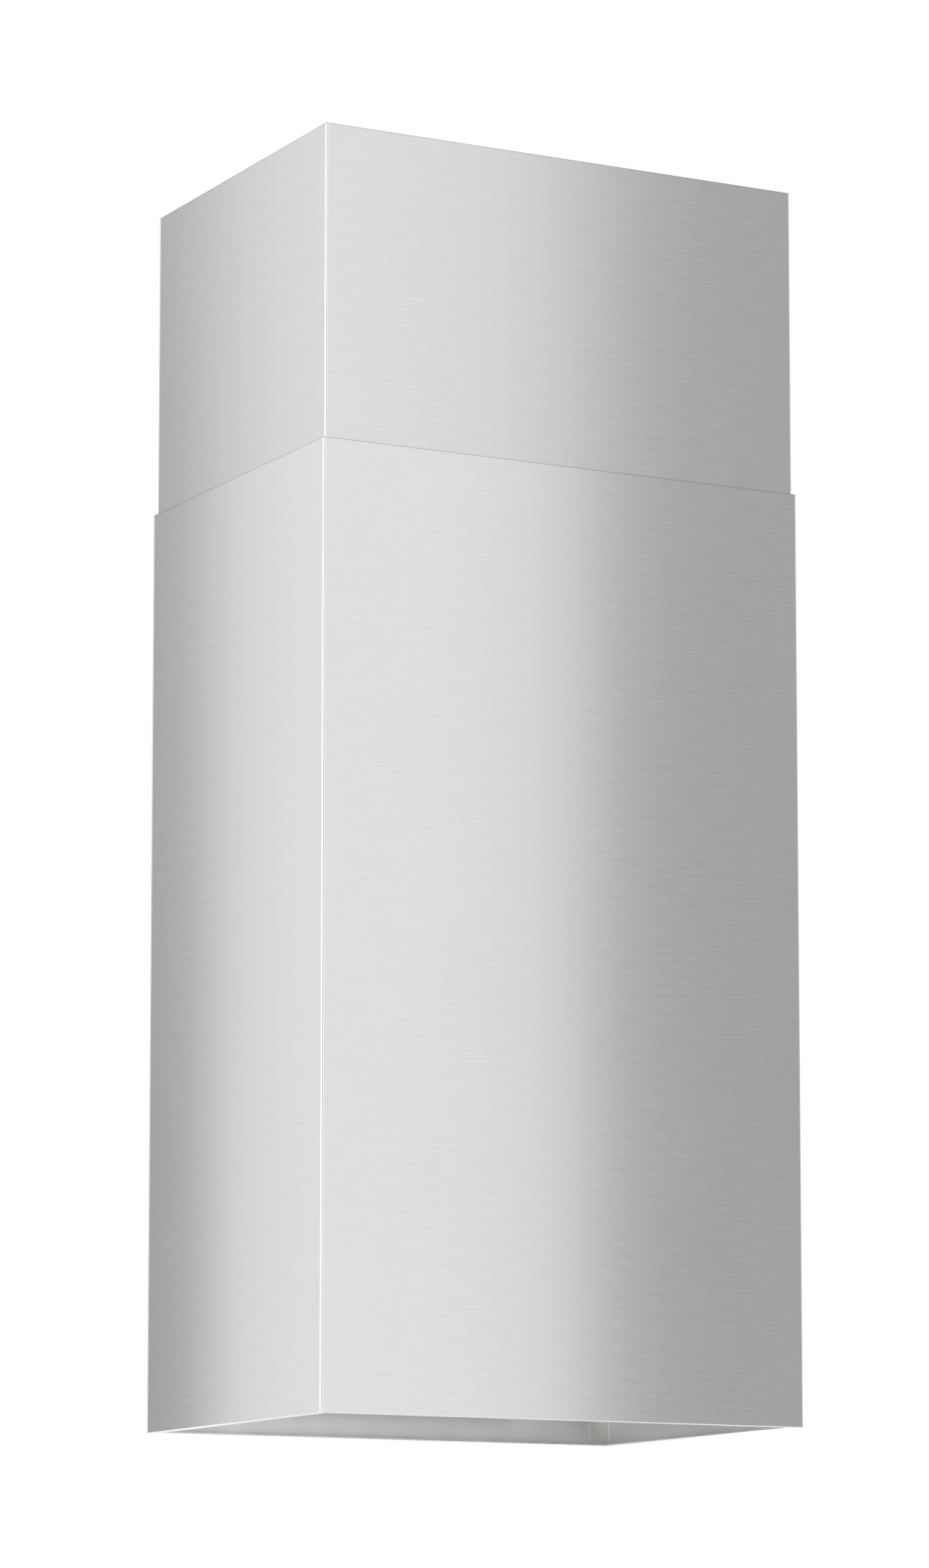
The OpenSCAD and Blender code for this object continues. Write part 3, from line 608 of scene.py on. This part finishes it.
# %% Where the fasteners sit
def solids(node):
    """The corner points of each separate solid in a measured part."""
    edit = merged(node)
    left = set(edit.verts)
    found = []
    while left:
        todo = [left.pop()]
        corners = []
        while todo:
            vert = todo.pop()
            corners.append(vert.co.copy())
            for joined in (link.other_vert(vert) for link in vert.link_edges):
                if joined in left:
                    left.remove(joined)
                    todo.append(joined)
        found.append(corners)
    edit.free()
    return sorted(found, key=lambda corners: tuple(round(x, 4) for x in corners[0]))


def span(corners):
    """The lowest and highest corner of the box round these points."""
    low = Vector(min(c[i] for c in corners) for i in range(3))
    high = Vector(max(c[i] for c in corners) for i in range(3))
    return low, high


def head_of(corners, axis_index):
    """The centre of a fastener's outer face, and the direction out of it."""
    low, high = span(corners)
    middle = (low + high) / 2
    reach = [(c - middle) for c in corners]
    for offset in reach:
        offset[axis_index] = 0
    widest = max(offset.length for offset in reach)
    rim = [c[axis_index] for c, o in zip(corners, reach) if o.length > 0.9 * widest]
    towards = 1 if sum(rim) / len(rim) > middle[axis_index] else -1
    axis = Vector((0, 0, 0))
    axis[axis_index] = towards
    middle[axis_index] = (high if towards > 0 else low)[axis_index]
    return middle, axis


def longest(corners):
    """The index of the axis along which a solid is longest."""
    low, high = span(corners)
    lengths = list(high - low)
    return lengths.index(max(lengths))


screw_heads = {
    node: [head_of(corners, longest(corners)) for corners in solids(node)]
    for node in ("hood_screws", "upper_frame_screws")
}
print({node: len(heads) for node, heads in screw_heads.items()})

# %% [markdown]
# ## Turned shapes with Geometry Nodes
# A screw head, a rivet and a lens are all turned about an axis and repeated. One grid of points
# is wrapped round the axis: across the grid runs the profile, and along it runs the angle. The
# tree takes its sizes as named inputs, puts the solid on each point, turned by the point's own
# `turn`, and ends in real geometry with its finish.


# %% Turned shapes
class Recipe:
    """A Geometry Nodes tree with named sizes, which puts one solid on each given point."""

    def __init__(self, name, **sizes):
        self.tree = bpy.data.node_groups.new(name, "GeometryNodeTree")
        face = self.tree.interface
        face.new_socket("Points", in_out="INPUT", socket_type="NodeSocketGeometry")
        for label, size in sizes.items():
            socket = face.new_socket(label, in_out="INPUT", socket_type="NodeSocketFloat")
            socket.default_value = size
        face.new_socket("Finish", in_out="INPUT", socket_type="NodeSocketMaterial")
        face.new_socket("Solid", in_out="OUTPUT", socket_type="NodeSocketGeometry")
        inlet = self.tree.nodes.new("NodeGroupInput")
        self.given = {s.name: Shade(self.tree, s) for s in inlet.outputs if s.name}
        self.node = Shade(self.tree).node

    def vector(self, x, y, z):
        return self.node("ShaderNodeCombineXYZ", {}, {0: x, 1: y, 2: z})

    def moved(self, solid, place=(0, 0, 0), turn=(0, 0, 0)):
        inputs = {"Geometry": solid, "Translation": place, "Rotation": turn}
        return self.node("GeometryNodeTransform", {}, inputs)

    def track(self, share, values):
        """The value at this share of the way along evenly spaced values."""
        made = self.node("ShaderNodeFloatCurve", {}, {"Value": share})
        curve = made.socket.node.mapping.curves[0]
        while len(curve.points) < len(values):
            curve.points.new(0.5, 0.5)
        for index, value in enumerate(values):
            curve.points[index].location = (index / (len(values) - 1), value)
            curve.points[index].handle_type = "VECTOR"
        made.socket.node.mapping.update()
        return made

    def turned(self, profile, radius, height, sides):
        """A solid turned from (radius, height) shares, from its top centre to its bottom centre."""
        grid = self.node(
            "GeometryNodeMeshGrid",
            {},
            {"Size X": 1, "Size Y": 1, "Vertices X": len(profile), "Vertices Y": sides + 1},
        )
        spot = self.node("GeometryNodeInputPosition")
        x = self.node("ShaderNodeSeparateXYZ", {}, {0: spot}, output=0)
        y = self.node("ShaderNodeSeparateXYZ", {}, {0: spot}, output=1)
        out = self.track(x + 0.5, [p[0] for p in profile]) * radius
        up = self.track(x + 0.5, [p[1] for p in profile]) * height
        angle = y * math.tau
        across = out * angle.maths("COSINE", angle)
        deep = out * angle.maths("SINE", angle)
        place = self.vector(across, deep, up)
        wrapped = self.node("GeometryNodeSetPosition", {}, {"Geometry": grid, "Position": place})
        inputs = {"Geometry": wrapped, "Distance": MERGE}
        return self.node("GeometryNodeMergeByDistance", {}, inputs)

    def bar(self, sides, radius, top, bottom):
        """An upright prism with this many sides, from height bottom to height top."""
        shape = {"Vertices": sides, "Radius": radius, "Depth": top - bottom}
        prism = self.node("GeometryNodeMeshCylinder", {}, shape)
        return self.moved(prism, self.vector(0, 0, (top + bottom) * 0.5))

    def cut(self, solid, tool, operation="DIFFERENCE"):
        """What is left of the solid outside the tool, or inside it with INTERSECT."""
        first = "Mesh 1" if operation == "DIFFERENCE" else "Mesh 2"
        made = self.node("GeometryNodeMeshBoolean", {"operation": operation}, {"Mesh 2": tool})
        self.tree.links.new(solid.socket, made.socket.node.inputs[first])
        return made

    def joined(self, *shapes):
        made = self.node("GeometryNodeJoinGeometry")
        for shape in reversed(shapes):
            self.tree.links.new(shape.socket, made.socket.node.inputs[0])
        return made

    def ending(self, solid, seed):
        """Puts the solid on the points, spun about its own axis by a fixed random angle."""
        turn = self.node(
            "GeometryNodeInputNamedAttribute", {"data_type": "FLOAT_VECTOR"}, {"Name": "turn"}
        )
        put = self.node(
            "GeometryNodeInstanceOnPoints",
            {},
            {
                "Points": self.given["Points"], "Instance": solid,
                "Rotation": self.node("FunctionNodeEulerToRotation", {}, {0: turn}),
            },
        )
        spin = self.node("FunctionNodeRandomValue", {"data_type": "FLOAT"}, {"Seed": seed}, output=1)
        euler = self.node("FunctionNodeEulerToRotation", {}, {0: self.vector(0, 0, spin * math.tau)})
        spun = self.node("GeometryNodeRotateInstances", {}, {"Instances": put, "Rotation": euler})
        real = self.node("GeometryNodeRealizeInstances", {}, {0: spun})
        inputs = {"Geometry": real, "Material": self.given["Finish"]}
        dressed = self.node("GeometryNodeSetMaterial", {}, inputs)
        outlet = self.tree.nodes.new("NodeGroupOutput")
        self.tree.links.new(dressed.socket, outlet.inputs[0])


def cast(recipe, name, heads, finish, node):
    """Runs a recipe on these heads and makes a plain piece that stands for the node."""
    cloud = bpy.data.meshes.new(name)
    cloud.from_pydata([place for place, _ in heads], [], [])
    turn = cloud.attributes.new("turn", "FLOAT_VECTOR", "POINT")
    for index, (_, axis) in enumerate(heads):
        turn.data[index].vector = axis.to_track_quat("Z", "Y").to_euler()
    source = placed(name + "_points", cloud)
    modifier = source.modifiers.new("recipe", "NODES")
    modifier.node_group = recipe.tree
    inlets = [s for s in recipe.tree.interface.items_tree if s.in_out == "INPUT"]
    identifiers = {s.name: s.identifier for s in inlets}
    modifier[identifiers["Finish"]] = finish.material
    bpy.context.view_layer.update()
    evaluated = source.evaluated_get(bpy.context.evaluated_depsgraph_get())
    mesh = bpy.data.meshes.new_from_object(evaluated)
    bpy.data.objects.remove(source)
    edit = bmesh.new()
    edit.from_mesh(mesh)
    bmesh.ops.recalc_face_normals(edit, faces=edit.faces)
    edit.to_mesh(mesh)
    edit.free()
    smoothed(mesh, 32)
    piece = placed(name, mesh)
    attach(piece, parts[node]["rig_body"])
    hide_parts(node)
    print(name, len(heads), "solids,", len(mesh.polygons), "faces")


# %% [markdown]
# ## Pan-head screws
# A pan head is a flat-bottomed dome with a cross recess, on a plain shank. The dome is turned,
# two thin bars cut the recess, and the recess points in a different direction on every screw,
# as no fitter lines them up.

# %% Pan-head screws
screw = Recipe(
    "pan_head_screw",
    **{
        "Head radius": 4 * MM, "Head height": 2 * MM,
        "Shank radius": 2 * MM, "Shank length": 8 * MM, "Recess width": 0.9 * MM,
    },
)
PAN = [
    (0, 1), (0.3, 0.99), (0.55, 0.94), (0.76, 0.82), (0.9, 0.62), (0.98, 0.36),
    (1, 0.16), (1, 0), (0, 0),
]
head_r, head_h = screw.given["Head radius"], screw.given["Head height"]
dome = screw.turned(PAN, head_r, head_h, 24)
recess = screw.node(
    "GeometryNodeMeshCube",
    {},
    {"Size": screw.vector(head_r * 1.15, screw.given["Recess width"], head_h * 1.2)},
)
for quarter in (0, math.pi / 2):
    tool = screw.moved(recess, screw.vector(0, 0, head_h), (0, 0, quarter))
    dome = screw.cut(dome, tool)
shank = screw.bar(16, screw.given["Shank radius"], head_h * 0.2, screw.given["Shank length"] * -1)
screw.ending(screw.moved(screw.joined(dome, shank), screw.vector(0, 0, head_h * -1)), seed=3)
for node_name, heads in screw_heads.items():
    cast(screw, node_name + "_domed", heads, zinc, node_name)

# %% [markdown]
# ## Flanged bolts and nuts
# The height bolts have a hexagonal head on a wide flange. A real hexagon's corners are chamfered
# by a cone, so a turned cone and a six-sided prism are intersected. The nuts are the same prism,
# chamfered on both faces, with the thread's hole through it.

# %% Flanged bolts and nuts
bolt = Recipe(
    "flange_bolt",
    **{
        "Head radius": 4.6 * MM, "Head height": 3.2 * MM,
        "Flange radius": 6.5 * MM, "Flange height": 1 * MM,
        "Shank radius": 2.5 * MM, "Shank length": 25 * MM,
    },
)
CHAMFER = [(0, 1), (0.86, 1), (1.0, 0.72), (1.0, 0), (0, 0)]
FLANGE = [(0, 1), (0.75, 1), (0.92, 0.7), (1, 0.4), (1, 0), (0, 0)]
hex_r, hex_h = bolt.given["Head radius"], bolt.given["Head height"]
flange_h = bolt.given["Flange height"]
hexagon = bolt.cut(bolt.bar(6, hex_r, hex_h, 0), bolt.turned(CHAMFER, hex_r, hex_h, 36), "INTERSECT")
flange = bolt.turned(FLANGE, bolt.given["Flange radius"], flange_h, 36)
shank = bolt.bar(16, bolt.given["Shank radius"], flange_h * 0.5, bolt.given["Shank length"] * -1)
whole = bolt.joined(bolt.moved(hexagon, bolt.vector(0, 0, flange_h * 0.9)), flange, shank)
bolt.ending(bolt.moved(whole, bolt.vector(0, 0, (hex_h + flange_h * 0.9) * -1)), seed=5)
bolt_heads = [head_of(corners, 0) for corners in solids("height_bolts")]
cast(bolt, "height_bolts_flanged", bolt_heads, zinc, "height_bolts")

nut = Recipe(
    "hex_nut", **{"Nut radius": 4.6 * MM, "Nut height": 4 * MM, "Hole radius": 2.55 * MM}
)
NUT_CHAMFER = [(0, 1), (0.87, 1), (1.0, 0.84), (1.0, 0.16), (0.87, 0), (0, 0)]
nut_r, nut_h = nut.given["Nut radius"], nut.given["Nut height"]
blank = nut.cut(nut.bar(6, nut_r, nut_h, 0), nut.turned(NUT_CHAMFER, nut_r, nut_h, 36), "INTERSECT")
hole = nut.bar(24, nut.given["Hole radius"], nut_h * 1.5, nut_h * -0.5)
nut.ending(nut.moved(nut.cut(blank, hole), nut.vector(0, 0, nut_h * -1)), seed=7)


def nut_head(corners):
    """A nut has no wide end, so its outer face is the one towards the hood's middle."""
    low, high = span(corners)
    middle = (low + high) / 2
    inward = -1 if middle.x > 0 else 1
    return Vector((low.x if inward < 0 else high.x, middle.y, middle.z)), Vector((inward, 0, 0))


nut_heads = [nut_head(corners) for corners in solids("height_nuts")]
cast(nut, "height_nuts_chamfered", nut_heads, zinc, "height_nuts")

# %% [markdown]
# ## Blind rivets
# The rear panels are held by flat blind rivets. Each head is a thin dome that sits in the sheet,
# with the stub of its mandrel in a dimple in the middle.

# %% Blind rivets
rivet = Recipe(
    "blind_rivet",
    **{
        "Head radius": 3 * MM, "Head height": 0.4 * MM,
        "Shank radius": 2 * MM, "Shank length": 1.1 * MM,
    },
)
RIVET = [
    (0, 0.55), (0.2, 0.55), (0.24, 0.1), (0.3, 0.1), (0.36, 0.95), (0.5, 1),
    (0.75, 0.85), (0.93, 0.55), (1, 0.2), (1, 0), (0, 0),
]
rivet_h = rivet.given["Head height"]
button = rivet.turned(RIVET, rivet.given["Head radius"], rivet_h, 28)
shank = rivet.bar(16, rivet.given["Shank radius"], rivet_h * 0.05, rivet.given["Shank length"] * -1)
rivet.ending(rivet.moved(rivet.joined(button, shank), rivet.vector(0, 0, rivet_h * -1)), seed=9)
for node_name in ("upper_cover_rivets", "lower_cover_rivets"):
    heads = [head_of(corners, 1) for corners in solids(node_name)]
    cast(rivet, node_name + "_domed", heads, bright, node_name)

# %% [markdown]
# ## Lamp lenses
# The lamps' lenses are moulded with rings that spread the light. Their profile is a low dome
# with a ripple, so it's worked out by a rule and turned like the rest.

# %% Lamp lenses
lens = Recipe("ringed_lens", **{"Lens radius": 18 * MM, "Lens height": 2 * MM})
RINGS = 9
profile = []
for step in range(4 * RINGS):
    share = step / (4 * RINGS)
    ripple = (0, 0.5, 1, 0.5)[step % 4] * 0.12
    profile.append((share * 0.97, 1 - 0.45 * share**2 - ripple))
profile += [(0.985, 0.5), (0.985, 0), (0, 0)]
lens_r, lens_h = lens.given["Lens radius"], lens.given["Lens height"]
ringed = lens.turned(profile, lens_r, lens_h, 56)
lens.ending(lens.moved(ringed, lens.vector(0, 0, lens_h * -1)), seed=11)
lens_heads = []
for corners in solids("lamp_lenses"):
    low, high = span(corners)
    face = Vector(((low.x + high.x) / 2, (low.y + high.y) / 2, low.z))
    lens_heads.append((face, Vector((0, 0, -1))))
cast(lens, "lamp_lenses_ringed", lens_heads, glass, "lamp_lenses")

# %% [markdown]
# ## Signs on the buttons
# Each button has a plain raised sign: a lamp, a ring with a stroke, a minus and a plus. A sign is
# a few strokes of one width, so each stroke is a flat ribbon along a path, given a little height.


# %% Signs on the buttons
def arc(radius, start, end, steps=20):
    """Points on part of a circle, in millimetres. Angles are in degrees."""
    turns = [math.radians(start + (end - start) * i / steps) for i in range(steps + 1)]
    return [(radius * math.cos(a), radius * math.sin(a)) for a in turns]


def ribbon(edit, path, width, low, high):
    """Adds a solid ribbon along a flat path to the mesh. All sizes are in metres."""
    spots = [Vector((x, y)) for x, y in path]
    rows = []
    for i, spot in enumerate(spots):
        ahead = (spots[min(i + 1, len(spots) - 1)] - spots[max(i - 1, 0)]).normalized()
        side = Vector((-ahead.y, ahead.x)) * (width / 2)
        corners = [(*(spot + side * sign), height) for height in (low, high) for sign in (1, -1)]
        rows.append([edit.verts.new(corner) for corner in corners])
    for first, second in zip(rows, rows[1:]):
        for a, b in ((0, 1), (1, 3), (3, 2), (2, 0)):
            edit.faces.new((first[a], first[b], second[b], second[a]))
    for end in (rows[0], rows[-1]):
        edit.faces.new((end[0], end[1], end[3], end[2]))


STROKE = 0.7 * MM
SIGN_RISE = 0.15 * MM
SIGN_ROOT = 0.1 * MM
SIGNS = {
    "button_light": [
        arc(1.9, -60, 240), [(-0.9, -2.3), (0.9, -2.3)], [(-0.6, -3.1), (0.6, -3.1)],
        [(0, 2.7), (0, 3.7)], [(2.3, 1.4), (3.1, 1.9)], [(-2.3, 1.4), (-3.1, 1.9)],
    ],
    "button_power": [arc(2.6, 125, 415, 28), [(0, 0.9), (0, 3.4)]],
    "button_slower": [[(-2.6, 0), (2.6, 0)]],
    "button_faster": [[(-2.6, 0), (2.6, 0)], [(0, 2.6), (0, 0.35)], [(0, -0.35), (0, -2.6)]],
}
for node_name, strokes in SIGNS.items():
    low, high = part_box(node_name)
    edit = bmesh.new()
    for stroke in strokes:
        path = [((low.x + high.x) / 2 + x * MM, (low.y + high.y) / 2 - y * MM) for x, y in stroke]
        ribbon(edit, path, STROKE, low.z - SIGN_RISE, low.z + SIGN_ROOT)
    bmesh.ops.recalc_face_normals(edit, faces=edit.faces)
    mesh = closed(edit, node_name + "_sign", sign_ink.material)
    sign = placed(node_name + "_sign", mesh)
    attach(sign, parts[node_name]["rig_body"])
print(len(SIGNS), "signs")

# %% [markdown]
# ## Lock seams of the ducts
# A duct is a strip rolled to a tube, with its two edges folded into each other. The fold shows as
# one raised strip along the tube: outside on the upper duct and inside on the lower one, where
# each leaves the other free to slide.


# %% Lock seams
SEAM_WIDTH = 7 * MM
SEAM_TURN = 235
# Shares of the strip's half width, round its section: the raised side, then the side in the wall.
RAISED_SIDE = (-1, -0.8, -0.3, 0.3, 0.8, 1)
SUNK_SIDE = (1, -1)


def seam(node, name, radius, grow, low, high):
    """A strip along a duct, which stands out by grow from its wall at this radius."""
    edit = bmesh.new()
    half = SEAM_WIDTH / 2 / radius
    out = math.copysign(1, grow)
    section = [(share, grow if abs(share) < 0.9 else -0.1 * MM * out) for share in RAISED_SIDE]
    section += [(share, -0.2 * MM * out) for share in SUNK_SIDE]
    rows = []
    for share, rise in section:
        turn = math.radians(SEAM_TURN) + share * half
        x = (radius + rise) * math.cos(turn)
        y = (radius + rise) * math.sin(turn)
        rows.append([edit.verts.new((x, y, z)) for z in (low, high)])
    for first, second in zip(rows, rows[1:] + rows[:1]):
        edit.faces.new((first[0], first[1], second[1], second[0]))
    for end in (0, 1):
        edit.faces.new([row[end] for row in rows])
    bmesh.ops.recalc_face_normals(edit, faces=edit.faces)
    strip = placed(name, closed(edit, name, aluminium.material))
    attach(strip, parts[node]["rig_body"])


upper_duct_low, upper_duct_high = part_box("upper_duct")
lower_duct_low, lower_duct_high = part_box("lower_duct")
DUCT_WALL = 0.7 * MM
SEAM_RISE = 0.6 * MM
seam(
    "upper_duct", "upper_duct_seam", upper_duct_high.x, SEAM_RISE,
    upper_duct_low.z + 1 * MM, upper_duct_high.z - 32 * MM,
)
seam(
    "lower_duct", "lower_duct_seam", lower_duct_high.x - DUCT_WALL, -SEAM_RISE,
    lower_duct_low.z + 40 * MM, lower_duct_high.z - 1 * MM,
)
print("two lock seams,", SEAM_WIDTH, "m wide")
